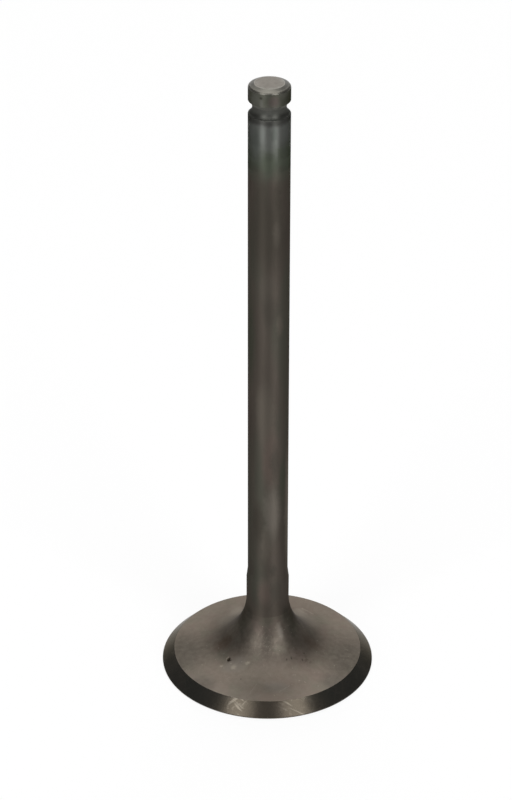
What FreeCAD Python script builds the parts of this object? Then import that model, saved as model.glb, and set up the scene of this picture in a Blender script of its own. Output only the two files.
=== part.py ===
import FreeCAD, Part
import math
import os

# A poppet valve for a small engine, forged and ground from one bar.
# It stands on its combustion face. Z is the axis of the stem, and z = 0 is the combustion face.
# All lengths are in millimetres and all angles in degrees.

# Whole valve
overall_length = 88.3
stem_diameter = 5.5

# Head, from the combustion face up
head_diameter = 29.4
face_edge_break = 0.08
margin_height = 0.12
seat_angle = 45.0
seat_width = 2.3
underhead_angle = 7.0

# Neck between the head and the ground stem
neck_diameter = 5.86
neck_fillet_radius = 8.5
neck_taper_angle = 7.0
ground_stem_start = 15.2

# Keeper groove, placed by the distance of its middle from the tip
groove_from_tip = 3.2
groove_radius = 1.05
groove_depth = 0.55
groove_edge_break = 0.12

# Tip
tip_face_diameter = 3.95
tip_chamfer_angle = 22.0
tip_corner_radius = 0.42

# A blend between two sides takes at most this share of the shorter one
blend_share = 0.95


def point(radius, height):
    """A point of the half section, which lies in the XZ plane."""
    return FreeCAD.Vector(radius, 0, height)


def chain(points):
    """Straight edges from each point to the next."""
    return [Part.LineSegment(a, b).toShape() for a, b in zip(points, points[1:])]


def arc(centre, radius, start, end):
    """An arc of the half section between two directions, counted from +X towards +Z."""
    directions = [math.radians(a) for a in (start, (start + end) / 2, end)]
    on_arc = [
        centre + radius * FreeCAD.Vector(math.cos(a), 0, math.sin(a))
        for a in directions
    ]
    return Part.Arc(*on_arc).toShape(), on_arc[0], on_arc[2]


def blend_reach(radius, turn):
    """How far from a corner a blend of this radius meets its two sides."""
    return radius * math.tan(math.radians(turn) / 2)


def blend_radius(wanted, turn, shorter_side):
    """The wanted radius, or the largest one that the shorter side of the corner has room for."""
    return min(wanted, blend_share * shorter_side / math.tan(math.radians(turn) / 2))


def head_points():
    """Combustion face, margin and seat: the last point is the seat's inner edge."""
    rim = head_diameter / 2
    slope = math.radians(seat_angle)
    seat_run = seat_width * math.cos(slope)
    seat_rise = seat_width * math.sin(slope)
    return [
        point(0, 0),
        point(rim - face_edge_break, 0),
        point(rim, face_edge_break),
        point(rim, face_edge_break + margin_height),
        point(rim - seat_run, face_edge_break + margin_height + seat_rise),
    ]


def neck_edges(seat_inner):
    """The sloped back of the head, the neck fillet and the step up to the ground stem."""
    neck = neck_diameter / 2
    stem = stem_diameter / 2
    slope = math.radians(underhead_angle)
    taper_height = (neck - stem) / math.tan(math.radians(neck_taper_angle))
    taper_start = ground_stem_start - taper_height
    run = seat_inner.x - neck
    corner = point(neck, seat_inner.z + run * math.tan(slope))

    turn = 90 - underhead_angle
    shorter_side = min(run / math.cos(slope), taper_start - corner.z)
    radius = blend_radius(neck_fillet_radius, turn, shorter_side)
    centre = corner + point(radius, blend_reach(radius, turn))
    fillet, on_back, on_neck = arc(centre, radius, 270 - underhead_angle, 180)

    stem_start = point(stem, ground_stem_start)
    back = chain([seat_inner, on_back])
    step = chain([on_neck, point(neck, taper_start), stem_start])
    return back + [fillet] + step, stem_start


def groove_edges(stem_start):
    """The ground stem, then the keeper groove with both of its edges broken."""
    stem = stem_diameter / 2
    middle = overall_length - groove_from_tip
    floor = stem - groove_depth
    centre = point(floor + groove_radius, middle)
    mouth = stem - groove_edge_break
    half_angle = math.degrees(math.acos((centre.x - mouth) / groove_radius))
    groove, lower, upper = arc(centre, groove_radius, 180 + half_angle, 180 - half_angle)

    below = point(stem, lower.z - groove_edge_break)
    above = point(stem, upper.z + groove_edge_break)
    return chain([stem_start, below, lower]) + [groove] + chain([upper, above]), above


def tip_edges(land_start):
    """The land above the groove, its round shoulder, the tip chamfer and the tip face."""
    stem = stem_diameter / 2
    face = tip_face_diameter / 2
    slope = math.radians(tip_chamfer_angle)
    run = stem - face
    corner = point(stem, overall_length - run * math.tan(slope))

    turn = 90 - tip_chamfer_angle
    shorter_side = min(run / math.cos(slope), corner.z - land_start.z)
    radius = blend_radius(tip_corner_radius, turn, shorter_side)
    centre = corner - point(radius, blend_reach(radius, turn))
    shoulder, on_land, on_chamfer = arc(centre, radius, 0, turn)

    tip_face = [on_chamfer, point(face, overall_length), point(0, overall_length)]
    return chain([land_start, on_land]) + [shoulder] + chain(tip_face)


def valve():
    """The whole half section, turned once round the stem's axis."""
    head = head_points()
    neck, stem_start = neck_edges(head[-1])
    groove, land_start = groove_edges(stem_start)
    tip = tip_edges(land_start)
    axis = chain([point(0, overall_length), point(0, 0)])
    outline = Part.Wire(chain(head) + neck + groove + tip + axis)
    origin = FreeCAD.Vector(0, 0, 0)
    upwards = FreeCAD.Vector(0, 0, 1)
    return Part.Face(outline).revolve(origin, upwards, 360)


os.makedirs("parts", exist_ok=True)
solid = valve()
solid.exportStep("parts/valve.step")
print("valve volume, cubic millimetres:", round(solid.Volume, 1))
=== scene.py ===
import math

import bpy
from mathutils import Matrix, Vector, noise


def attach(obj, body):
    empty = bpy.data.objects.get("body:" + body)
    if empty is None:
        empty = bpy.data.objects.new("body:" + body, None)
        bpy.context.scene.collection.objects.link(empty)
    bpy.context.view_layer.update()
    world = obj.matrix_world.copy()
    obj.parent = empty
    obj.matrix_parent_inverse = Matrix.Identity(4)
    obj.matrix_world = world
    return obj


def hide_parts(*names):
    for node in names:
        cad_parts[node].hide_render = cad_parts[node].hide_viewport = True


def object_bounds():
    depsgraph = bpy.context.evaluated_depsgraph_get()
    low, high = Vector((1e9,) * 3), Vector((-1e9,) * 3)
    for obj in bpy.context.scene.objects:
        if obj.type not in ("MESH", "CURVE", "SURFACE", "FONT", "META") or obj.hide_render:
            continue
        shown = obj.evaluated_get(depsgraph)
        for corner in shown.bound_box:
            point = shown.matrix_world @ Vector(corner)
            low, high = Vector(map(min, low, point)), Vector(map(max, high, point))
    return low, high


# An engine valve that stands on its combustion face. The frame is in metres, and the valve's
# own sizes below are in millimetres, with Z along the stem and z = 0 at the combustion face.
# Angles are in degrees. The camera stands on the side of negative Y.
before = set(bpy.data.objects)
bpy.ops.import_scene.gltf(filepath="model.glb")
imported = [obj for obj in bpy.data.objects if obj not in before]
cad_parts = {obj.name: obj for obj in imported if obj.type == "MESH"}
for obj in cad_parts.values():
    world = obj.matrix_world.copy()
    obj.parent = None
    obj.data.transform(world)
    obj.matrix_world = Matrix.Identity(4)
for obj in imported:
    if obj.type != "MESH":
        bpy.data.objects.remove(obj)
cad_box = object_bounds()
MM = 0.001


def tan(degrees):
    return math.tan(math.radians(degrees))


def sin(degrees):
    return math.sin(math.radians(degrees))


def cos(degrees):
    return math.cos(math.radians(degrees))


# The half section's sizes. The overall length and the head's diameter come from the frame.
LENGTH = cad_box[1].z / MM
RIM = cad_box[1].x / MM
STEM = 2.75
FACE_BREAK = 0.08
MARGIN_TOP = 0.20
SEAT_ANGLE = 45.0
SEAT_WIDTH = 2.3
SEAT_INNER = RIM - SEAT_WIDTH * cos(SEAT_ANGLE)
BACK_ANGLE = 7.0
NECK = 2.93
NECK_FILLET = 8.5
TAPER_ANGLE = 7.0
STEM_START = 15.2
GROOVE_MIDDLE = LENGTH - 3.2
GROOVE_RADIUS = 1.05
GROOVE_DEPTH = 0.55
GROOVE_BREAK = 0.12
TIP_FACE = 1.975
TIP_CHAMFER_ANGLE = 22.0
TIP_CORNER = 0.42

# The back of the head is forged and blasted, so it is a little uneven, with so many bumps to
# the millimetre. It gets smooth over the last stretch before the seat, and over another that
# ends some way below the ground stem.
FORGED_HEIGHT = 0.014
FORGED_PER_MM = 0.55
BLASTED_HEIGHT = 0.004
BLASTED_PER_MM = 3.1
SMOOTH_AT_SEAT = 0.8
SMOOTH_AT_NECK = 2
SMOOTH_BELOW_STEM = 2.5

# The pit in the back of the head. Its edge is uneven, and the black in it reaches a little
# past that.
PIT_X = -5.35
PIT_Y = -5.05
PIT_HEIGHT = 3.1
PIT_WIDTH = 0.2
PIT_LENGTH = 0.3
PIT_DEPTH = 0.20
PIT_LOBES = 0.5
PIT_LOBES_PER_MM = 2.4
PIT_BLACK_SHARE = 1.3
PIT_RADIUS = math.hypot(PIT_X, PIT_Y)
PIT_AZIMUTH = math.degrees(math.atan2(PIT_X, -PIT_Y))

# The mesh: how many columns stand round the axis, about how far apart the rows of a rounded
# corner are, in millimetres and in degrees, and the fewest strips there
AROUND = 288
ROW_SPACING = 0.2
ROW_TURN = 8.0
CORNER_STRIPS = 4

# A row this close to each edge of the section keeps the shading of its two sides apart
EDGE_ROW = 0.02

# The mesh is finer round the pit. So many strips take the place of one in the neck's fillet,
# out to this reach, and so many more columns stand on each side of the pit.
PIT_STRIPS = 4
PIT_REACH = 0.55
PIT_COLUMNS = 9
PIT_COLUMN_STEP = 0.5

# The ground neck turns into the blasted back in steps, each out to a radius of its own
NECK_STEPS = (("neck", 3.12), ("foot_1", 3.35), ("foot_2", 3.68), ("foot_3", 4.15))
UNEVEN_ZONES = ("back", *(zone for zone, reach in NECK_STEPS))

# The neck is coloured as its foot is up to the first of these heights, and as the stem is from
# the second
NECK_FROM = 8.6
NECK_FULL = 12.5

# Over these distances from the axis the colour turns from the foot's into the back's and then
# into that of the back's rim, the blasted grain sets in, and the steel gets rougher by a little
FOOT_TO_BACK = (4.2, 8.6)
BACK_TO_RIM = (8.5, 13.0)
GRAIN_SETS_IN = (3.2, 4.6)
BACK_GETS_ROUGHER = (4.0, 9.0)
BACK_ROUGHNESS_GAIN = 0.08

# The stem's hardened end starts here, and is fully so from the last of these heights. The edges
# of the stains wander, so the stem below takes those too that start this far above it.
HARDENED_STEPS = (("hardened_1", 76.2), ("hardened_2", 78.0), ("hardened", 79.8))
HARDENED_FROM = HARDENED_STEPS[0][1]
STAIN_DRIFT = 1

# The ground stem turns cooler and brighter over these heights, first into the tint of its
# hardening and then into those of its hardened end, which has a darker band at its top. The
# heights wander by up to this drift, and the band's by a share of it.
HARDENING_HEIGHTS = (75.6, 79.5)
HARDENED_HEIGHTS = (78.5, 83.2)
BAND_HEIGHTS = (83.5, 84.2)
HEIGHT_DRIFT = 2.0
BAND_DRIFT_SHARE = 0.35

# From this height up the keeper groove is rougher, and painted lighter to lift the shade on its
# upper side
GROOVE_TOP_FROM = GROOVE_MIDDLE + 0.25

# The rounded corner above the land belongs to the chamfer from where it is so much narrower
LAND_SLACK = 0.01

# Two tints for each zone of the steel, between which soft clouds vary
BACK_TINTS = ((0.138, 0.118, 0.096), (0.148, 0.122, 0.100))
BACK_RIM_TINTS = ((0.160, 0.138, 0.114), (0.170, 0.141, 0.116))
FOOT_TINTS = ((0.088, 0.075, 0.062), (0.096, 0.081, 0.067))
STEM_TINTS = ((0.088, 0.075, 0.063), (0.106, 0.090, 0.076))
HARDENED_TINTS = ((0.172, 0.178, 0.166), (0.196, 0.203, 0.188))
SEAT_TINTS = ((0.075, 0.073, 0.064), (0.084, 0.079, 0.069))
GROOVE_TINTS = ((0.070, 0.071, 0.064), (0.090, 0.090, 0.082))
# Painted light: the groove's upper side is lighter, to lift its shade
GROOVE_TOP_LIGHTENED_TINTS = ((0.120, 0.120, 0.106), (0.150, 0.148, 0.132))
LAND_TINTS = ((0.086, 0.088, 0.070), (0.108, 0.107, 0.090))
CHAMFER_TINTS = ((0.066, 0.064, 0.056), (0.090, 0.087, 0.076))
TIP_TINTS = ((0.126, 0.114, 0.097), (0.150, 0.136, 0.117))
FACE_TINTS = ((0.11, 0.10, 0.088), (0.14, 0.125, 0.11))

# Tints of the steel where it is sooty, dull, olive, brown, worn lighter, ruddy or rubbed, then
# two tints of painted light, then cool tints of the hardened end, the lightest a painted
# highlight. The sooty, brown, rubbed and cool dull tints are also painted shade or light in
# places, as marked
SOOTY_AND_SHADE = (0.069, 0.061, 0.050)
DULL = (0.081, 0.072, 0.060)
OLIVE = (0.075, 0.077, 0.059)
BROWN_AND_HIGHLIGHT = (0.098, 0.086, 0.072)
WORN = (0.120, 0.105, 0.087)
RUDDY = (0.128, 0.101, 0.086)
RUBBED_AND_HIGHLIGHT = (0.162, 0.144, 0.123)
PAINTED_LIGHT = (0.185, 0.162, 0.134)
PAINTED_STRONG_LIGHT = (0.235, 0.206, 0.172)
COOL_DARK = (0.102, 0.114, 0.087)
COOL_DULL_AND_SHADE = (0.150, 0.162, 0.147)
COOL_HIGHLIGHT = (0.196, 0.206, 0.191)

# Tints on the back of the head. The first two are painted shade, dark on the two sides of the
# neck's foot; the rest are of a crust of forging scale, rust, marks and grain
SCALE = (0.038, 0.034, 0.026)
SIDE_SHADE_ROOT = (0.038, 0.038, 0.029)
SCALE_CRUST = (0.074, 0.055, 0.043)
RUST = (0.088, 0.062, 0.045)
PINK = (0.152, 0.112, 0.100)
GREEN = (0.118, 0.120, 0.090)
GRAIN = (0.27, 0.24, 0.20)
MOTTLE = (0.200, 0.172, 0.142)
SPECK = (0.32, 0.29, 0.24)
SCRATCH = (0.26, 0.23, 0.19)
LIGHT_MARK = (0.30, 0.265, 0.21)
DARK_MARK = (0.035, 0.028, 0.022)
PIT_BLACK = (0.032, 0.025, 0.017)

# Tints of the ground stem where it is olive, where its hardening starts and just below the groove
STEM_OLIVE = (0.086, 0.083, 0.067)
HARDENING = (0.092, 0.102, 0.080)
HARDENED_BAND = (0.098, 0.098, 0.090)

# Tints of places on the seat, of painted shade at its two sides, and of its scratches and flecks
SEAT_FRONT = (0.073, 0.062, 0.048)
SEAT_MIDDLE = (0.108, 0.090, 0.072)
SEAT_SIDE_SHADE = (0.030, 0.030, 0.027)
SEAT_SCRATCH = (0.176, 0.158, 0.130)
SEAT_FLECK = (0.132, 0.116, 0.094)

# Tints of places on the groove, the land, the chamfer and the tip's face. The groove's first tint
# is painted shade, the chamfer's three are painted highlights, and the tip's rim is partly worn
# and partly a painted highlight
GROOVE_FLANK_SHADE = (0.038, 0.038, 0.034)
LAND_RUDDY = (0.104, 0.086, 0.078)
LAND_PALE = (0.126, 0.127, 0.108)
LAND_GREY = (0.12, 0.12, 0.105)
LAND_OLIVE = (0.064, 0.065, 0.050)
LAND_BLACK = (0.044, 0.043, 0.034)
CHAMFER_FRONT_HIGHLIGHT = (0.134, 0.128, 0.111)
CHAMFER_LEFT_HIGHLIGHT = (0.124, 0.119, 0.104)
CHAMFER_CORNER_HIGHLIGHT = (0.158, 0.151, 0.131)
TIP_RUBBED = (0.200, 0.192, 0.172)
TIP_RIM_WEAR_AND_HIGHLIGHT = (0.250, 0.240, 0.215)

# How strongly a stain, or a patch of painted light or shade, covers the steel
STAIN_AND_PAINT_STRENGTH = 0.85

# Marks on the back of the head, each an ellipse: x, y, half width and half length. They reach
# this far above and below the heights of their middles.
LIGHT_MARKS = (
    (-4.65, -6.5, 0.6, 0.5),
    (-6.35, -5.9, 0.4, 0.3),
    (-5.05, -5.8, 0.25, 0.15),
    (-2.75, -6.3, 0.5, 0.35),
    (0.95, -11.85, 0.15, 0.2),
    (4.45, -8.9, 0.15, 0.2),
    (5.2, -9.05, 0.1, 0.2),
)
DARK_MARKS = (
    (-5.25, -5.35, 0.55, 0.15),
    (5.1, -4.2, 0.15, 0.2),
    (3.25, -5.55, 0.2, 0.2),
    (2.7, -5.85, 0.15, 0.2),
    (4.9, -5.25, 0.15, 0.2),
    (-3.65, -8.65, 0.15, 0.2),
)
MARK_REACH = 3.0
LIGHT_MARK_HEIGHT = 2.8
DARK_MARK_HEIGHT = 3.2

# Stains on the back of the head, and patches of painted light and shade as marked: x, y,
# half width, half length and tint
BACK_STAINS_AND_PAINTED_PATCHES = (
    # Painted shade: the back darker towards its left and right sides
    (-12.2, -2.0, 6.0, 8.0, SOOTY_AND_SHADE),
    (11.8, -3.4, 6.0, 9.5, SOOTY_AND_SHADE),
    (-8.9, -9.2, 3.0, 2.8, BROWN_AND_HIGHLIGHT),
    (9.2, -8.6, 2.6, 2.4, BROWN_AND_HIGHLIGHT),
    (1.2, -10.3, 2.6, 1.6, RUBBED_AND_HIGHLIGHT),
    # Painted light on the far side of the back round the stem, where the back reflects the dark
    # stem
    (-5.4, 4.4, 2.4, 3.8, PAINTED_LIGHT),
    (5.7, 4.5, 2.3, 3.6, PAINTED_LIGHT),
    (-4.3, 7.2, 1.7, 3.0, PAINTED_STRONG_LIGHT),
    (4.4, 6.6, 1.6, 2.8, PAINTED_STRONG_LIGHT),
    (0.2, 7.6, 4.4, 2.4, PAINTED_STRONG_LIGHT),
    # Painted highlight on the right of the neck's foot
    (1.7, -3.4, 0.8, 0.6, RUBBED_AND_HIGHLIGHT),
    (-4.6, -6.2, 2.4, 1.6, RUBBED_AND_HIGHLIGHT),
)

# Scratches on the back of the head: start, end and width
BACK_SCRATCHES = (
    ((4.9, 8.9, 2.3), (6.5, 7.3, 2.4), 0.15),
    ((4.2, 8.6, 2.5), (5.6, 7.0, 2.6), 0.12),
    ((1.6, -11.3, 2.1), (3.1, -9.9, 2.2), 0.07),
    ((-2.4, -11.6, 2.1), (-1.5, -9.7, 2.2), 0.06),
)

# Stains on the stem, its hardened end and the land, and some painted light and shade as marked:
# azimuth from the camera's side, height, half width, half length and tint
STEM_STAINS_AND_PAINTED_PATCHES = (
    (0, 68.5, 3.6, 9.0, SOOTY_AND_SHADE),
    # Painted shade: these two darken the stem along the lines of the lamps' highlights
    (-20, 72.5, 1.0, 7.0, SOOTY_AND_SHADE),
    (24, 73.5, 0.8, 3.4, SOOTY_AND_SHADE),
    # Painted highlight: a warm streak where the right lamp's highlight falls
    (22, 68.3, 0.8, 2.6, BROWN_AND_HIGHLIGHT),
    (-6, 60.3, 1.7, 2.6, BROWN_AND_HIGHLIGHT),
    (3, 56.8, 1.6, 3.4, DULL),
    (33, 54.6, 0.8, 2.4, WORN),
    (-62, 52.0, 1.5, 9.5, OLIVE),
    (-5, 40.5, 1.7, 8.0, WORN),
    (-25, 42.0, 0.9, 4.5, WORN),
    (8, 34.0, 1.5, 7.0, RUDDY),
    (20, 33.5, 1.0, 4.0, DULL),
    (46, 30.5, 0.9, 5.0, OLIVE),
    # Painted reflection: a light streak down the right edge of the stem
    (78, 25.5, 1.4, 14.0, PAINTED_LIGHT),
    (12, 25.6, 1.7, 5.6, RUBBED_AND_HIGHLIGHT),
    (-28, 24.0, 1.2, 4.5, SOOTY_AND_SHADE),
    (-6, 20.5, 0.9, 4.0, WORN),
    (14, 16.3, 0.9, 1.5, DULL),
    (-58, 16.0, 1.2, 2.0, DULL),
    (-8, 12.5, 1.5, 3.2, RUDDY),
    (22, 13.0, 1.2, 3.4, DULL),
)
HARDENED_STAINS_AND_PAINTED_PATCHES = (
    (-38, 81.0, 1.0, 2.6, COOL_DULL_AND_SHADE),
    # Painted highlight at the left
    (-20, 82.3, 0.7, 1.6, COOL_HIGHLIGHT),
    # Painted shade that dims the highlight at the right
    (12, 82.4, 0.7, 1.4, COOL_DULL_AND_SHADE),
    (-1, 78.2, 1.2, 2.4, COOL_DARK),
    (33, 79.2, 0.8, 2.0, COOL_DARK),
    (55, 79.0, 1.2, 2.6, COOL_DARK),
)
LAND_STAINS = (
    (12, 86.9, 1.1, 1.1, LAND_RUDDY),
    (-42, 87.0, 0.9, 1.5, LAND_PALE),
    (-22, 86.6, 0.35, 0.9, LAND_GREY),
    (60, 86.7, 1.3, 1.2, LAND_OLIVE),
    (-23, 87.3, 0.3, 0.25, LAND_BLACK),
)

# The camera stands in front of the valve and looks down at it. Its focal length and the height
# of the image are in pixels of the photograph, and the sensor's height is in millimetres.
CAMERA_BACK = 350.0
CAMERA_HEIGHT = 248.0
CAMERA_PITCH = 30.49
CAMERA_YAW = -0.27
CAMERA_ROLL = 0.08
FOCAL_PIXELS = 3037.0
IMAGE_HEIGHT = 800
SENSOR = 36.0

# The lamps: name, azimuth from the camera's side, elevation, width, height and radiance. They
# face a point on the valve's axis. These sizes are in metres, and so is the floor's.
LAMPS = (
    ("left_softbox", -35.5, 31, 0.38, 0.82, 4.1),
    ("right_softbox", 35.5, 31, 0.38, 0.82, 4.1),
    ("back_softbox", 180, 38, 0.96, 1.2, 1.47),
    ("top_softbox", 180, 86, 0.96, 0.86, 1.85),
)
LAMP_DISTANCE = 1.0
LAMP_AIM_HEIGHT = 0.03
FLOOR_RADIUS = 4.0


def corners():
    """The half section as corners: radius, height, the radius of the corner's rounding, the
    zone that starts at the corner, and the spacing of the rows in that zone."""
    seat_top = MARGIN_TOP + SEAT_WIDTH * sin(SEAT_ANGLE)
    neck_corner = seat_top + (SEAT_INNER - NECK) * tan(BACK_ANGLE)
    taper_start = STEM_START - (NECK - STEM) / tan(TAPER_ANGLE)

    groove_centre = STEM - GROOVE_DEPTH + GROOVE_RADIUS
    mouth = STEM - GROOVE_BREAK
    half = math.degrees(math.acos((groove_centre - mouth) / GROOVE_RADIUS))
    mouth_rise = GROOVE_RADIUS * sin(half)
    groove_corner = groove_centre - GROOVE_RADIUS / cos(half)

    shoulder = LENGTH - (STEM - TIP_FACE) * tan(TIP_CHAMFER_ANGLE)
    return [
        (0.0, 0.0, 0.0, "face", 1.8),
        (RIM - FACE_BREAK, 0.0, 0.04, "margin", 0.05),
        (RIM, FACE_BREAK, 0.04, "margin", 0.05),
        (RIM, MARGIN_TOP, 0.03, "seat", 0.3),
        (SEAT_INNER, seat_top, 0.10, "back", 0.2),
        (NECK, neck_corner, NECK_FILLET, "back", 0.22),
        (NECK, taper_start, 0.30, "step", 0.2),
        (STEM, STEM_START, 0.30, "stem", 1.8),
        (STEM, GROOVE_MIDDLE - mouth_rise - GROOVE_BREAK, 0.06, "groove", 0.04),
        (mouth, GROOVE_MIDDLE - mouth_rise, 0.0, "groove", 0.1),
        (groove_corner, GROOVE_MIDDLE, GROOVE_RADIUS, "groove", 0.1),
        (mouth, GROOVE_MIDDLE + mouth_rise, 0.0, "groove", 0.04),
        (STEM, GROOVE_MIDDLE + mouth_rise + GROOVE_BREAK, 0.06, "land", 0.3),
        (STEM, shoulder, TIP_CORNER, "chamfer", 0.1),
        (TIP_FACE, LENGTH, 0.05, "tip", 0.3),
        (0.0, LENGTH, 0.0, "tip", 0.3),
    ]


def rounded(before, corner, after, radius):
    """The rows of an arc that rounds a corner, from its first side to its second. The neck's
    fillet has finer rows where the pit is."""
    into = (before - corner).normalized()
    out = (after - corner).normalized()
    turn = math.pi - into.angle(out)
    reach = radius * math.tan(turn / 2)
    centre = corner + (into + out).normalized() * (radius / math.cos(turn / 2))
    start = corner + into * reach - centre
    by_turn = round(math.degrees(turn) / ROW_TURN)
    by_length = round(radius * turn / ROW_SPACING)
    strips = max(CORNER_STRIPS, by_turn, by_length)
    finer = PIT_STRIPS if radius == NECK_FILLET else 1
    side = 1 if start.cross(-into) > 0 else -1
    arc = []
    for step in range(finer * strips + 1):
        share = step / (finer * strips)
        row = centre + Matrix.Rotation(side * turn * share, 2) @ start
        if step % finer == 0 or abs(row.x - PIT_RADIUS) < PIT_REACH:
            arc.append(row)
    return arc


def zone_at(row, zone):
    """The zone of the strip that follows a row, where one zone turns into another in steps."""
    if zone == "back":
        return next((step for step, reach in NECK_STEPS if row.x < reach), "back")
    if zone == "stem":
        passed = [step for step, start in HARDENED_STEPS if row.y > start]
        return passed[-1] if passed else "stem"
    if zone == "groove" and row.y > GROOVE_TOP_FROM:
        return "groove_top_lightened"
    if zone == "land" and row.x < STEM - LAND_SLACK:
        return "chamfer"
    return zone


def section():
    """Rows of the half section with the zone of the strip that follows each row."""
    plan = corners()
    points = [Vector((c[0], c[1])) for c in plan]
    rows, zones = [points[0]], [plan[0][3]]
    for i in range(1, len(plan)):
        radius = plan[i][2]
        zone, spacing = plan[i - 1][3:]
        arc = [points[i]]
        if radius:
            arc = rounded(points[i - 1], points[i], points[i + 1], radius)
        start, stop = rows[-1], arc[0]
        run = (stop - start).length
        edge = min(EDGE_ROW, run / 4)
        strips = max(1, round(run / spacing))
        places = [edge] + [run * k / strips for k in range(1, strips)] + [run - edge]
        for place in places:
            if edge <= place <= run - edge:
                rows.append(start + (stop - start) * (place / run))
                zones.append(zone)
        for k, row in enumerate(arc):
            rows.append(row)
            zones.append(zone if k < len(arc) // 2 else plan[i][3])
    return rows, [zone_at(row, zone) for row, zone in zip(rows, zones)]


def azimuths():
    """The angles of the columns, closer together where the pit is."""
    even = [360.0 * i / AROUND for i in range(AROUND)]
    steps = range(-PIT_COLUMNS, PIT_COLUMNS + 1)
    fine = [PIT_AZIMUTH % 360 + step * PIT_COLUMN_STEP for step in steps]
    return sorted(set(round(a, 4) for a in even + fine))


def relief(place, zone, radius):
    """How far a point of the surface stands off the true form."""
    if zone not in UNEVEN_ZONES:
        return 0.0
    forged = FORGED_HEIGHT * noise.noise(place * FORGED_PER_MM)
    blasted = BLASTED_HEIGHT * noise.noise(place * BLASTED_PER_MM)
    lobe = PIT_LOBES * noise.noise(place * PIT_LOBES_PER_MM)
    away = math.hypot((place.x - PIT_X) / PIT_WIDTH, (place.y - PIT_Y) / PIT_LENGTH)
    pit = -PIT_DEPTH * math.exp(-min(away * (1 + lobe), 3.0) ** 4)
    near_seat = min(1.0, (SEAT_INNER - radius) / SMOOTH_AT_SEAT)
    below = (STEM_START - SMOOTH_BELOW_STEM - place.z) / SMOOTH_AT_NECK
    near_stem = min(1.0, max(0.0, below))
    return (forged + blasted) * near_seat * near_stem + pit


def valve_mesh(materials):
    """The turned surface, with each zone in its own material."""
    rows, zones = section()
    angles = azimuths()
    count = len(angles)
    slots = {zone: i for i, zone in enumerate(materials)}
    vertices, faces, indices = [], [], []
    inner = [k for k, row in enumerate(rows) if row.x > 1e-6]
    for k in inner:
        before, after = rows[max(k - 1, 0)], rows[min(k + 1, len(rows) - 1)]
        slope = (after - before).normalized()
        for angle in angles:
            outward = Vector((cos(angle - 90), sin(angle - 90), 0))
            place = outward * rows[k].x + Vector((0, 0, rows[k].y))
            normal = outward * slope.y - Vector((0, 0, slope.x))
            offset = relief(place, zones[k], rows[k].x)
            vertices.append((place + normal * offset) * MM)
    for ring in range(len(inner) - 1):
        zone = slots[zones[inner[ring]]]
        for i in range(count):
            j = (i + 1) % count
            low, high = ring * count, (ring + 1) * count
            faces.append((low + i, low + j, high + j, high + i))
            indices.append(zone)
    bottom, top = len(vertices), len(vertices) + 1
    vertices += [Vector((0, 0, 0)), Vector((0, 0, LENGTH * MM))]
    last = (len(inner) - 1) * count
    for i in range(count):
        j = (i + 1) % count
        faces.append((bottom, j, i))
        indices.append(slots["face"])
        faces.append((top, last + i, last + j))
        indices.append(slots["tip"])
    mesh = bpy.data.meshes.new("valve_surface")
    mesh.from_pydata(vertices, [], faces)
    for material in materials.values():
        mesh.materials.append(material)
    mesh.polygons.foreach_set("material_index", indices)
    mesh.polygons.foreach_set("use_smooth", [True] * len(faces))
    mesh.update()
    return mesh


def feed(tree, socket, value):
    """Link a node's input to another node's output, or set it to a value."""
    if isinstance(value, bpy.types.NodeSocket):
        tree.links.new(value, socket)
    else:
        socket.default_value = value


def add_node(tree, kind, inputs=None, **settings):
    """A new node with these settings, whose inputs are linked or set."""
    node = tree.nodes.new(kind)
    for name, value in settings.items():
        setattr(node, name, value)
    for name, value in (inputs or {}).items():
        feed(tree, node.inputs[name], value)
    return node


# The mix node has sockets for several kinds of data, and these are the ones for colours
MIX_COLOURS = (6, 7)
MIX_RESULT = 2


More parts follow.
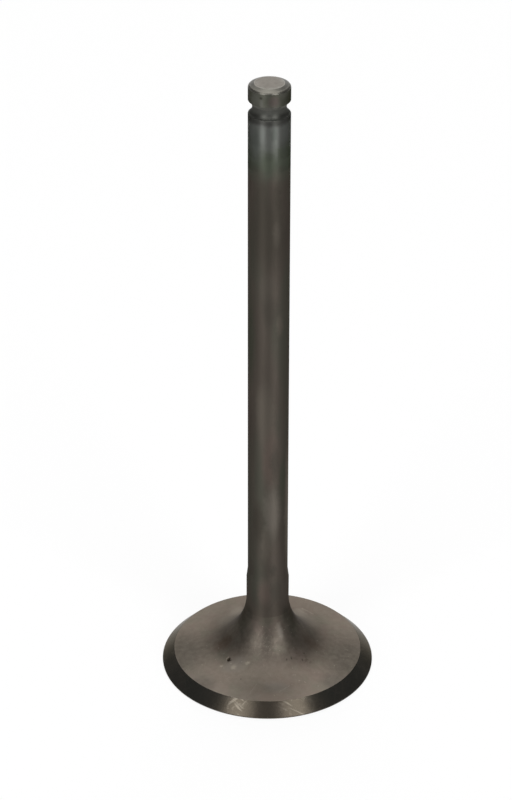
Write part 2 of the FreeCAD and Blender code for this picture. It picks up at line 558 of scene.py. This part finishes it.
class Steel:
    """A metal material whose colour and relief are built up in layers."""

    def __init__(self, name, roughness, edge=0.5, stretch=0.0):
        """Edge is the tint that the steel reflects at a glancing angle, grey or a colour, and
        stretch is how strongly highlights are drawn out along the valve's axis, up to one."""
        self.material = bpy.data.materials.new(name)
        self.material.use_nodes = True
        self.tree = self.material.node_tree
        self.shader = self.tree.nodes["Principled BSDF"]
        self.shader.inputs["Metallic"].default_value = 1.0
        self.shader.inputs["Roughness"].default_value = roughness
        tint = edge if isinstance(edge, tuple) else (edge, edge, edge)
        self.shader.inputs["Specular Tint"].default_value = (*tint, 1)
        if stretch:
            self.shader.inputs["Anisotropic"].default_value = stretch
            self.shader.inputs["Anisotropic Rotation"].default_value = 0.25
            tangent = self.add("ShaderNodeTangent", direction_type="RADIAL", axis="Z")
            self.tree.links.new(tangent.outputs[0], self.shader.inputs["Tangent"])
        place = self.add("ShaderNodeTexCoord")
        self.place = self.vector_math("SCALE", place.outputs["Object"], scale=1 / MM)
        self.normal = None

    def add(self, kind, inputs=None, **settings):
        return add_node(self.tree, kind, inputs, **settings)

    def vector_math(self, operation, first, second=None, scale=None, result=0):
        inputs = {0: first, 1: second, "Scale": scale}
        inputs = {name: value for name, value in inputs.items() if value is not None}
        node = self.add("ShaderNodeVectorMath", inputs, operation=operation)
        return node.outputs[result]

    def math(self, operation, first, second):
        node = self.add("ShaderNodeMath", {0: first, 1: second}, operation=operation)
        return node.outputs[0]

    def times(self, first, second):
        return self.math("MULTIPLY", first, second)

    def parts(self):
        return self.add("ShaderNodeSeparateXYZ", {0: self.place}).outputs

    def combined(self, x, y, z):
        return self.add("ShaderNodeCombineXYZ", {0: x, 1: y, 2: z}).outputs[0]

    def height(self):
        return self.parts()["Z"]

    def length(self, vector):
        return self.vector_math("LENGTH", vector, result="Value")

    def radius(self):
        """The distance from the valve's axis."""
        return self.length(self.vector_math("MULTIPLY", self.place, (1, 1, 0)))

    def angle(self):
        """The angle round the valve's axis, in radians."""
        parts = self.parts()
        return self.math("ARCTAN2", parts["Y"], parts["X"])

    def ramp(self, value, low, high, start=0.0, end=1.0):
        """Start below the low value, end above the high one, and smooth in between."""
        inputs = {"Value": value, "From Min": low, "From Max": high}
        inputs.update({"To Min": start, "To Max": end})
        return self.add("ShaderNodeMapRange", inputs, interpolation_type="SMOOTHSTEP").outputs[0]

    def noise_at(self, place, per_mm=1.0, detail=2.0, roughness=0.5, output="Fac"):
        inputs = {"Vector": place, "Scale": per_mm, "Detail": detail, "Roughness": roughness}
        return self.add("ShaderNodeTexNoise", inputs).outputs[output]

    def noise(self, per_mm, detail=2.0, roughness=0.5, stretch=None, shift=0.0, output="Fac"):
        """Cloudy noise, with so many features to the millimetre along each axis."""
        place = self.place
        if stretch:
            place = self.vector_math("MULTIPLY", place, stretch)
        if shift:
            place = self.vector_math("ADD", place, (shift, shift, shift))
        return self.noise_at(place, per_mm, detail, roughness, output)

    def clouds(self, per_mm, low=0.35, high=0.65, detail=3, **settings):
        """Soft clouds: zero where the noise is low and one where it is high."""
        return self.ramp(self.noise(per_mm, detail=detail, **settings), low, high)

    def rings(self, per_mm, per_radian=0.7):
        """Fine lines round the axis, as a lathe or grinding wheel leaves them."""
        outward = self.times(self.radius(), per_mm)
        up = self.times(self.height(), per_mm)
        around = self.times(self.angle(), per_radian)
        return self.noise_at(self.combined(outward, up, around), detail=3.0)

    def scratches(self, slant, per_mm, thinness=0.12):
        """Thin straight lines on the seat, at a slant to its edge."""
        around = self.times(self.angle(), RIM)
        up = self.times(self.height(), 1 / sin(SEAT_ANGLE))
        across = self.math("ADD", self.times(around, sin(slant)), self.times(up, cos(slant)))
        along = self.math("SUBTRACT", self.times(around, cos(slant)), self.times(up, sin(slant)))
        across = self.times(across, per_mm)
        along = self.times(along, per_mm * thinness)
        lines = self.noise_at(self.combined(across, along, slant), detail=1.0)
        return self.ramp(lines, 0.60, 0.72)

    def drifted(self, ragged, per_mm=1.3):
        """The position with a wandering offset, so that what is drawn there has ragged edges."""
        drift = self.noise(per_mm, detail=3, output="Color")
        drift = self.vector_math("SUBTRACT", drift, (0.5, 0.5, 0.5))
        drift = self.vector_math("SCALE", drift, scale=ragged)
        return self.vector_math("ADD", self.place, drift)

    def spot(self, centre, size, soft=0.6, place=None):
        """One inside an ellipsoid of this size about a point, and zero outside it."""
        away = self.vector_math("SUBTRACT", place or self.place, centre)
        distance = self.length(self.vector_math("DIVIDE", away, size))
        return self.ramp(distance, 1 - soft, 1.0, 1.0, 0.0)

    def line(self, start, end, width, place=None):
        """One along a line between two points, seen from above, and zero away from it."""
        start, run = Vector(start), Vector(end) - Vector(start)
        away = self.vector_math("SUBTRACT", place or self.place, start)
        share = self.vector_math("DOT_PRODUCT", away, run / run.length_squared, result="Value")
        share = self.math("MINIMUM", self.math("MAXIMUM", share, 0.0), 1.0)
        nearest = self.vector_math("SCALE", run, scale=share)
        gap = self.vector_math("SUBTRACT", away, nearest)
        gap = self.vector_math("MULTIPLY", gap, (1, 1, 0))
        return self.ramp(self.length(gap), width * 0.3, width, 1.0, 0.0)

    def mix(self, amount, first, second):
        """The first colour where the amount is zero, and the second where it is one."""
        inputs = {"Factor": amount}
        for socket, colour in zip(MIX_COLOURS, (first, second)):
            inputs[socket] = (*colour, 1) if isinstance(colour, tuple) else colour
        return self.add("ShaderNodeMix", inputs, data_type="RGBA").outputs[MIX_RESULT]

    def tinted(self, colour, tint, strength, mask):
        """The colour with so much of a tint over it where the mask is one."""
        return self.mix(self.times(mask, strength), colour, tint)

    def patch(self, colour, tint, strength, centre, size, soft, place=None):
        """The colour with so much of a tint over it in a soft ellipsoid about a point."""
        return self.tinted(colour, tint, strength, self.spot(centre, size, soft, place))

    def bump(self, height, depth, strength):
        """Relief of this depth, laid over the relief so far."""
        node = self.add("ShaderNodeBump", {"Strength": strength, "Height": height})
        node.inputs["Distance"].default_value = depth * MM
        if self.normal:
            self.tree.links.new(self.normal, node.inputs["Normal"])
        self.normal = node.outputs[0]

    def stained(self, colour, stains, place=None, low=0.0, high=LENGTH):
        """The colour with those stains and painted patches on it that reach between two heights.
        """
        for azimuth, height, across, along, tint in stains:
            if low < height + along and height - along < high:
                centre = (STEM * sin(azimuth), -STEM * cos(azimuth), height)
                size = (across, across, along)
                colour = self.patch(colour, tint, STAIN_AND_PAINT_STRENGTH, centre, size, 0.75, place)
        return colour

    def foot(self):
        """The colour of the neck's foot, where the ground neck meets the blasted back."""
        return self.mix(self.clouds(0.20), *FOOT_TINTS)

    def paint_side_shade_and_rust(self, colour):
        """Painted shade on both sides of the neck's foot, and rust further out on each side."""
        for side in (-1, 1):
            # Painted shade: a dark wing on each side of the neck's foot, with a darker root and
            # flank
            wing = (side * 3.8, -0.6, 7.4)
            colour = self.patch(colour, SCALE, 0.8, wing, (1.8, 2.6, 4.2), 0.8)
            root = self.spot((side * 3.3, -1.9, 6.6), (1.1, 1.5, 3.4), 0.7)
            flank = self.spot((side * 2.6, -1.9, 8.3), (0.9, 1.2, 2.0), 0.7)
            root = self.math("MAXIMUM", root, flank)
            colour = self.tinted(colour, SIDE_SHADE_ROOT, 0.5, root)
        for x, strength in ((-6.1, 0.65), (6.2, 0.4)):
            colour = self.patch(colour, RUST, strength, (x, -2.0, 4.0), (2.1, 1.8, 3.0), 0.8)
        return colour

    def finish(self, colour, roughness=None):
        feed(self.tree, self.shader.inputs["Base Color"], colour)
        if roughness is not None:
            feed(self.tree, self.shader.inputs["Roughness"], roughness)
        if self.normal:
            feed(self.tree, self.shader.inputs["Normal"], self.normal)
        return self.material


def stained_and_painted_back(steel, radius, flat):
    """The blasted back, a little lighter near the seat, with stains and painted light and shade.
    """
    cloud = steel.clouds(0.20)
    back = steel.mix(cloud, *BACK_TINTS)
    rim = steel.mix(cloud, *BACK_RIM_TINTS)
    colour = steel.mix(steel.ramp(radius, *FOOT_TO_BACK), steel.foot(), back)
    colour = steel.mix(steel.ramp(radius, *BACK_TO_RIM), colour, rim)
    pink = steel.clouds(0.42, 0.50, 0.68, detail=2, shift=13.0)
    green = steel.clouds(0.38, 0.50, 0.68, detail=2, shift=43.0)
    colour = steel.tinted(colour, PINK, 0.22, pink)
    colour = steel.tinted(colour, GREEN, 0.26, green)
    for x, y, width, length, tint in BACK_STAINS_AND_PAINTED_PATCHES:
        size = (width, length, 1.0)
        colour = steel.patch(colour, tint, STAIN_AND_PAINT_STRENGTH, (x, y, 0.0), size, 0.8, flat)
    return steel.paint_side_shade_and_rust(colour)


def grained_back(steel, colour, texture, flat):
    """The grain and specks of the back, the mottle in front of the neck and a crust of scale."""
    grain = steel.clouds(1.5, 0.3, 0.7, detail=4, roughness=0.6, shift=7.0)
    colour = steel.tinted(colour, GRAIN, 0.13, steel.times(grain, texture))
    mottle = steel.clouds(2.6, 0.50, 0.66, roughness=0.7, shift=23.0)
    foot = steel.spot((0.0, -4.8, 0.0), (3.4, 2.0, 1.0), 0.8, flat)
    colour = steel.tinted(colour, MOTTLE, 0.45, steel.times(mottle, foot))
    crust = steel.clouds(1.2, 0.42, 0.66, detail=2, roughness=0.6, shift=29.0)
    beside = steel.spot((4.6, -4.9, 0.0), (2.6, 1.1, 1.0), place=flat)
    colour = steel.tinted(colour, SCALE_CRUST, 0.55, steel.times(crust, beside))
    specks = steel.clouds(2.1, 0.68, 0.74, detail=2, roughness=0.7, shift=19.0)
    return steel.tinted(colour, SPECK, 0.35, specks)


def marked_back(steel, colour):
    """The scratches, the light and dark marks and the pit in the back."""
    ragged = steel.drifted(0.5, per_mm=2.6)
    for start, end, width in BACK_SCRATCHES:
        scratch = steel.line(start, end, width, ragged)
        colour = steel.tinted(colour, SCRATCH, 0.45, scratch)
    for marks, height, tint, strength in (
        (LIGHT_MARKS, LIGHT_MARK_HEIGHT, LIGHT_MARK, 0.5),
        (DARK_MARKS, DARK_MARK_HEIGHT, DARK_MARK, 0.7),
    ):
        for x, y, width, length in marks:
            size = (width, length, MARK_REACH)
            colour = steel.patch(colour, tint, strength, (x, y, height), size, 0.8, ragged)
    size = (PIT_WIDTH * PIT_BLACK_SHARE, PIT_LENGTH * PIT_BLACK_SHARE, 2.0)
    pit = steel.spot((PIT_X, PIT_Y, PIT_HEIGHT), size, 0.5)
    return steel.mix(pit, colour, PIT_BLACK)


def blasted_steel(name, roughness, stretch=0.0, edge=0.48):
    """The back of the head and the foot of the neck: forged, blasted, warm grey."""
    steel = Steel(name, roughness=roughness, edge=edge, stretch=stretch)
    radius = steel.radius()
    texture = steel.ramp(radius, *GRAIN_SETS_IN)
    flat = steel.vector_math("MULTIPLY", steel.drifted(1.2, per_mm=0.5), (1, 1, 0))
    colour = stained_and_painted_back(steel, radius, flat)
    colour = grained_back(steel, colour, texture, flat)
    colour = marked_back(steel, colour)
    steel.bump(steel.noise(2.3, detail=4, roughness=0.6), 0.018, steel.times(texture, 0.6))
    steel.bump(steel.noise(7.0), 0.006, steel.times(texture, 0.5))
    rough = None
    if not stretch:
        rougher = roughness + BACK_ROUGHNESS_GAIN
        rough = steel.ramp(radius, *BACK_GETS_ROUGHER, roughness, rougher)
    return steel.finish(colour, rough)


def hardened(steel, colour, tone, z):
    """The colour of the stem turned cooler and brighter at its hardened end, with a darker band
    just below the keeper groove."""
    drift = steel.times(steel.noise(0.6, detail=3), HEIGHT_DRIFT)
    level = steel.math("ADD", z, drift)
    band_level = steel.math("ADD", z, steel.times(drift, BAND_DRIFT_SHARE))
    cool = steel.mix(tone, *HARDENED_TINTS)
    cool = steel.mix(steel.ramp(band_level, *BAND_HEIGHTS), cool, HARDENED_BAND)
    colour = steel.mix(steel.ramp(level, *HARDENING_HEIGHTS), colour, HARDENING)
    return steel.mix(steel.ramp(level, *HARDENED_HEIGHTS), colour, cool)


def ground_steel(name, roughness, stretch, edge, low=0.0, high=LENGTH):
    """The ground neck and stem between two heights, with the stains and the painted light and
    shade that reach in there.
    """
    steel = Steel(name, roughness=roughness, edge=edge, stretch=stretch)
    z = steel.height()
    ragged = steel.drifted(0.7)
    tone = steel.clouds(0.5, stretch=(1, 1, 0.12))
    olive = steel.clouds(0.28, 0.42, 0.68, detail=2, stretch=(1, 1, 0.2), shift=31.0)
    colour = steel.mix(tone, *STEM_TINTS)
    colour = steel.mix(olive, colour, STEM_OLIVE)
    colour = steel.stained(colour, STEM_STAINS_AND_PAINTED_PATCHES, ragged, low, high)
    ringed = 0.4
    if low < NECK_FULL:
        ground = steel.ramp(z, NECK_FROM, NECK_FULL)
        colour = steel.mix(ground, steel.foot(), colour)
        colour = steel.paint_side_shade_and_rust(colour)
        ringed = steel.times(ground, ringed)
    colour = hardened(steel, colour, tone, z)
    colour = steel.stained(colour, HARDENED_STAINS_AND_PAINTED_PATCHES, ragged, low, high)
    steel.bump(steel.rings(9.0), 0.003, ringed)
    return steel.finish(colour)


def seat_steel():
    """The ground seat: smooth and dark, with fine lines round it, a few faint scratches, painted
    shade at its two sides, and its scratches and flecks lighter where the lamps reflect, in part
    a painted highlight.
    """
    steel = Steel("ground_seat", roughness=0.26, edge=(0.60, 0.57, 0.53), stretch=0.3)
    colour = steel.mix(steel.clouds(0.35), *SEAT_TINTS)
    front = steel.spot((0.0, -14.0, 1.0), (12.5, 6.0, 4.0))
    colour = steel.mix(front, colour, SEAT_FRONT)
    colour = steel.patch(colour, SEAT_MIDDLE, 0.8, (0.3, -14.0, 1.0), (3.4, 2.0, 4.0), 0.8)
    rubbed = 0.25
    # On each side: painted shade at the seat's side, and a patch where the lamp's reflection
    # falls, in which the scratches and flecks are lighter, in part a painted highlight
    for side in (-1, 1):
        end = (side * 14.0, -1.0, 1.0)
        colour = steel.patch(colour, SEAT_SIDE_SHADE, 0.8, end, (3.0, 3.8, 4.0), 0.8)
        patch = steel.spot((side * 4.3, -13.6, 1.0), (3.8, 3.0, 4.0))
        rubbed = steel.math("MAXIMUM", rubbed, patch)
    lines = steel.math("MAXIMUM", steel.scratches(35, 3.0), steel.scratches(-50, 2.4))
    colour = steel.tinted(colour, SEAT_SCRATCH, 0.55, steel.times(lines, rubbed))
    flecks = steel.clouds(1.9, 0.54, 0.68, roughness=0.65, shift=5.0)
    colour = steel.tinted(colour, SEAT_FLECK, 0.5, steel.times(flecks, rubbed))
    steel.bump(steel.rings(10.0), 0.001, 0.4)
    return steel.finish(colour)


def land_steel():
    """The land between the keeper groove and the tip: ground, olive, with a reddish stain."""
    steel = Steel("tip_land", roughness=0.58, edge=0.3, stretch=0.8)
    colour = steel.mix(steel.clouds(0.8), *LAND_TINTS)
    colour = steel.stained(colour, LAND_STAINS)
    steel.bump(steel.rings(8.0), 0.004, 0.4)
    return steel.finish(colour)


def groove_steel(name, roughness, tints):
    """The keeper groove: turned and dull, with painted shade on its two flanks."""
    steel = Steel(name, roughness=roughness, edge=0.4)
    colour = steel.mix(steel.clouds(0.8), *tints)
    # Painted shade on the left and right of the groove
    for side in (-1, 1):
        flank = (side * 1.7, -1.8, GROOVE_MIDDLE - 0.3)
        colour = steel.patch(colour, GROOVE_FLANK_SHADE, 0.6, flank, (1.1, 1.6, 1.1), 0.8)
    steel.bump(steel.rings(8.0), 0.004, 0.5)
    return steel.finish(colour)


def chamfer_steel():
    """The ground chamfer round the tip's face and the rounded corner below it, with painted
    highlights in front, at the left and in a narrow band between the two."""
    steel = Steel("tip_chamfer", roughness=0.36, edge=0.8)
    colour = steel.mix(steel.clouds(1.3, detail=4, shift=3.0), *CHAMFER_TINTS)
    height = steel.height()
    # Painted highlights where the lamps reflect: in front, at the left and in a band across the
    # corner
    front = steel.spot((-0.35, -2.7, LENGTH - 0.2), (2.2, 1.5, 2.0), 0.7)
    front = steel.times(front, steel.ramp(height, LENGTH - 0.54, LENGTH - 0.38))
    colour = steel.mix(front, colour, CHAMFER_FRONT_HIGHLIGHT)
    left = (-1.9, -1.7, LENGTH - 0.3)
    colour = steel.patch(colour, CHAMFER_LEFT_HIGHLIGHT, 0.6, left, (1.3, 1.3, 1.0), 0.8)
    above = steel.ramp(height, LENGTH - 0.42, LENGTH - 0.30)
    below = steel.ramp(height, LENGTH - 0.28, LENGTH - 0.14, 1.0, 0.0)
    colour = steel.mix(steel.times(above, below), colour, CHAMFER_CORNER_HIGHLIGHT)
    steel.bump(steel.rings(12.0), 0.003, 0.5)
    return steel.finish(colour)


def tip_steel():
    """The bright ground face of the tip, rubbed a little lighter towards its edge, and lighter
    still at the rim, which is partly worn and partly a painted highlight.
    """
    steel = Steel("tip_face", roughness=0.36, edge=0.8)
    colour = steel.mix(steel.clouds(1.3, detail=4, shift=3.0), *TIP_TINTS)
    rubbed = steel.clouds(1.1, 0.45, 0.70, roughness=0.6, shift=11.0)
    edge = steel.times(steel.ramp(steel.radius(), 1.1, 1.85), rubbed)
    colour = steel.mix(edge, colour, TIP_RUBBED)
    # The rim: partly worn, partly a painted highlight
    rim = steel.ramp(steel.radius(), TIP_FACE - 0.18, TIP_FACE - 0.05, 0.0, 0.5)
    colour = steel.mix(rim, colour, TIP_RIM_WEAR_AND_HIGHLIGHT)
    steel.bump(steel.rings(12.0), 0.003, 0.5)
    return steel.finish(colour)


def face_steel():
    """The combustion face: turned, with rings about its centre."""
    steel = Steel("combustion_face", roughness=0.36)
    steel.bump(steel.rings(5.0), 0.01, 0.6)
    return steel.finish(steel.mix(steel.clouds(0.3), *FACE_TINTS))


def make_valve():
    """The valve's surface in place of the plain solid. Where one zone turns into another in
    steps, each step has a highlight of its own."""
    seat = seat_steel()
    top = HARDENED_FROM
    stem = ground_steel("ground_stem", 0.63, 0.745, 0.4, high=top + STAIN_DRIFT)
    materials = {
        "face": face_steel(),
        "margin": seat,
        "seat": seat,
        "back": blasted_steel("blasted_back", 0.44),
        "foot_3": blasted_steel("neck_foot_3", 0.47, stretch=0.30, edge=0.46),
        "foot_2": blasted_steel("neck_foot_2", 0.51, stretch=0.52, edge=0.43),
        "foot_1": blasted_steel("neck_foot_1", 0.57, stretch=0.67, edge=0.41),
        "neck": stem,
        "step": stem,
        "stem": stem,
        "hardened_1": ground_steel("hardening_stem_1", 0.627, 0.84, 0.28, low=top),
        "hardened_2": ground_steel("hardening_stem_2", 0.621, 0.907, 0.15, low=top),
        "hardened": ground_steel("hardened_stem", 0.615, 0.955, 0.03, low=top),
        "groove": groove_steel("keeper_groove", 0.45, GROOVE_TINTS),
        "groove_top_lightened": groove_steel("groove_top_lightened", 0.75, GROOVE_TOP_LIGHTENED_TINTS),
        "land": land_steel(),
        "chamfer": chamfer_steel(),
        "tip": tip_steel(),
    }
    piece = bpy.data.objects.new("valve_surface", valve_mesh(materials))
    bpy.context.collection.objects.link(piece)
    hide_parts("valve")
    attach(piece, "root")


def make_floor():
    """A wide pale floor. Most of its white is its own, so that it stays white out of the lamps'
    reach, and the rest is lit, so that it keeps the valve's shadow."""
    bpy.ops.mesh.primitive_circle_add(vertices=96, radius=FLOOR_RADIUS, fill_type="NGON")
    floor = bpy.context.object
    floor.name = "floor"
    material = bpy.data.materials.new("pale_floor")
    material.use_nodes = True
    tree = material.node_tree
    tree.nodes.remove(tree.nodes["Principled BSDF"])
    path = add_node(tree, "ShaderNodeLightPath").outputs
    rays = {0: path["Is Camera Ray"], 1: path["Is Glossy Ray"]}
    seen = add_node(tree, "ShaderNodeMath", rays, operation="MAXIMUM").outputs[0]
    place = {0: add_node(tree, "ShaderNodeTexCoord").outputs["Object"]}
    distance = add_node(tree, "ShaderNodeVectorMath", place, operation="LENGTH").outputs["Value"]
    reach = {"Value": distance, "From Min": 0.25, "From Max": 1.0, "To Min": 0.8, "To Max": 1.0}
    far = add_node(tree, "ShaderNodeMapRange", reach, interpolation_type="SMOOTHSTEP").outputs[0]
    share = add_node(tree, "ShaderNodeMath", {0: seen, 1: far}, operation="MULTIPLY").outputs[0]
    paper = add_node(tree, "ShaderNodeBsdfDiffuse", {"Color": (0.86, 0.86, 0.86, 1)}).outputs[0]
    glow = add_node(tree, "ShaderNodeEmission", {"Color": (1, 1, 1, 1)}).outputs[0]
    mix = add_node(tree, "ShaderNodeMixShader", {0: share, 1: paper, 2: glow}).outputs[0]
    feed(tree, tree.nodes["Material Output"].inputs["Surface"], mix)
    floor.data.materials.append(material)


def make_world():
    """A dim grey room that turns pale towards the horizon."""
    world = bpy.data.worlds.new("room")
    bpy.context.scene.world = world
    world.use_nodes = True
    tree = world.node_tree
    place = {0: add_node(tree, "ShaderNodeTexCoord").outputs["Generated"]}
    height = add_node(tree, "ShaderNodeSeparateXYZ", place).outputs["Z"]
    fade = {"Value": height, "From Min": 0.02, "From Max": 0.13, "To Min": 1.0, "To Max": 0.20}
    grey = add_node(tree, "ShaderNodeMapRange", fade, interpolation_type="SMOOTHSTEP")
    feed(tree, tree.nodes["Background"].inputs["Color"], grey.outputs[0])


def softbox(name, azimuth, elevation, width, height, radiance):
    """A soft rectangular lamp that faces the valve."""
    light = bpy.data.lights.new(name, "AREA")
    light.shape = "RECTANGLE"
    light.size = width
    light.size_y = height
    light.energy = radiance * math.pi * width * height
    lamp = bpy.data.objects.new(name, light)
    away = Vector((
        sin(azimuth) * cos(elevation),
        -cos(azimuth) * cos(elevation),
        sin(elevation),
    ))
    lamp.location = away * LAMP_DISTANCE + Vector((0, 0, LAMP_AIM_HEIGHT))
    lamp.rotation_mode = "QUATERNION"
    lamp.rotation_quaternion = away.to_track_quat("Z", "Y")
    lamp.visible_camera = False
    bpy.context.collection.objects.link(lamp)


def make_camera():
    data = bpy.data.cameras.new("camera")
    data.lens = FOCAL_PIXELS / IMAGE_HEIGHT * SENSOR
    data.sensor_width = SENSOR
    data.clip_start = 0.01
    data.clip_end = 20
    forward = Vector((
        sin(CAMERA_YAW) * cos(CAMERA_PITCH),
        cos(CAMERA_YAW) * cos(CAMERA_PITCH),
        -sin(CAMERA_PITCH),
    ))
    level = Vector((cos(CAMERA_YAW), -sin(CAMERA_YAW), 0))
    right = Matrix.Rotation(-math.radians(CAMERA_ROLL), 3, forward) @ level
    up = right.cross(forward)
    turned = Matrix((right, up, -forward)).transposed().to_4x4()
    moved = Matrix.Translation(Vector((0, -CAMERA_BACK, CAMERA_HEIGHT)) * MM)
    camera = bpy.data.objects.new("camera", data)
    camera.matrix_world = moved @ turned
    bpy.context.collection.objects.link(camera)
    bpy.context.scene.camera = camera


bpy.context.scene.view_settings.view_transform = "Standard"
make_camera()
make_valve()
make_floor()
make_world()
for lamp in LAMPS:
    softbox(*lamp)
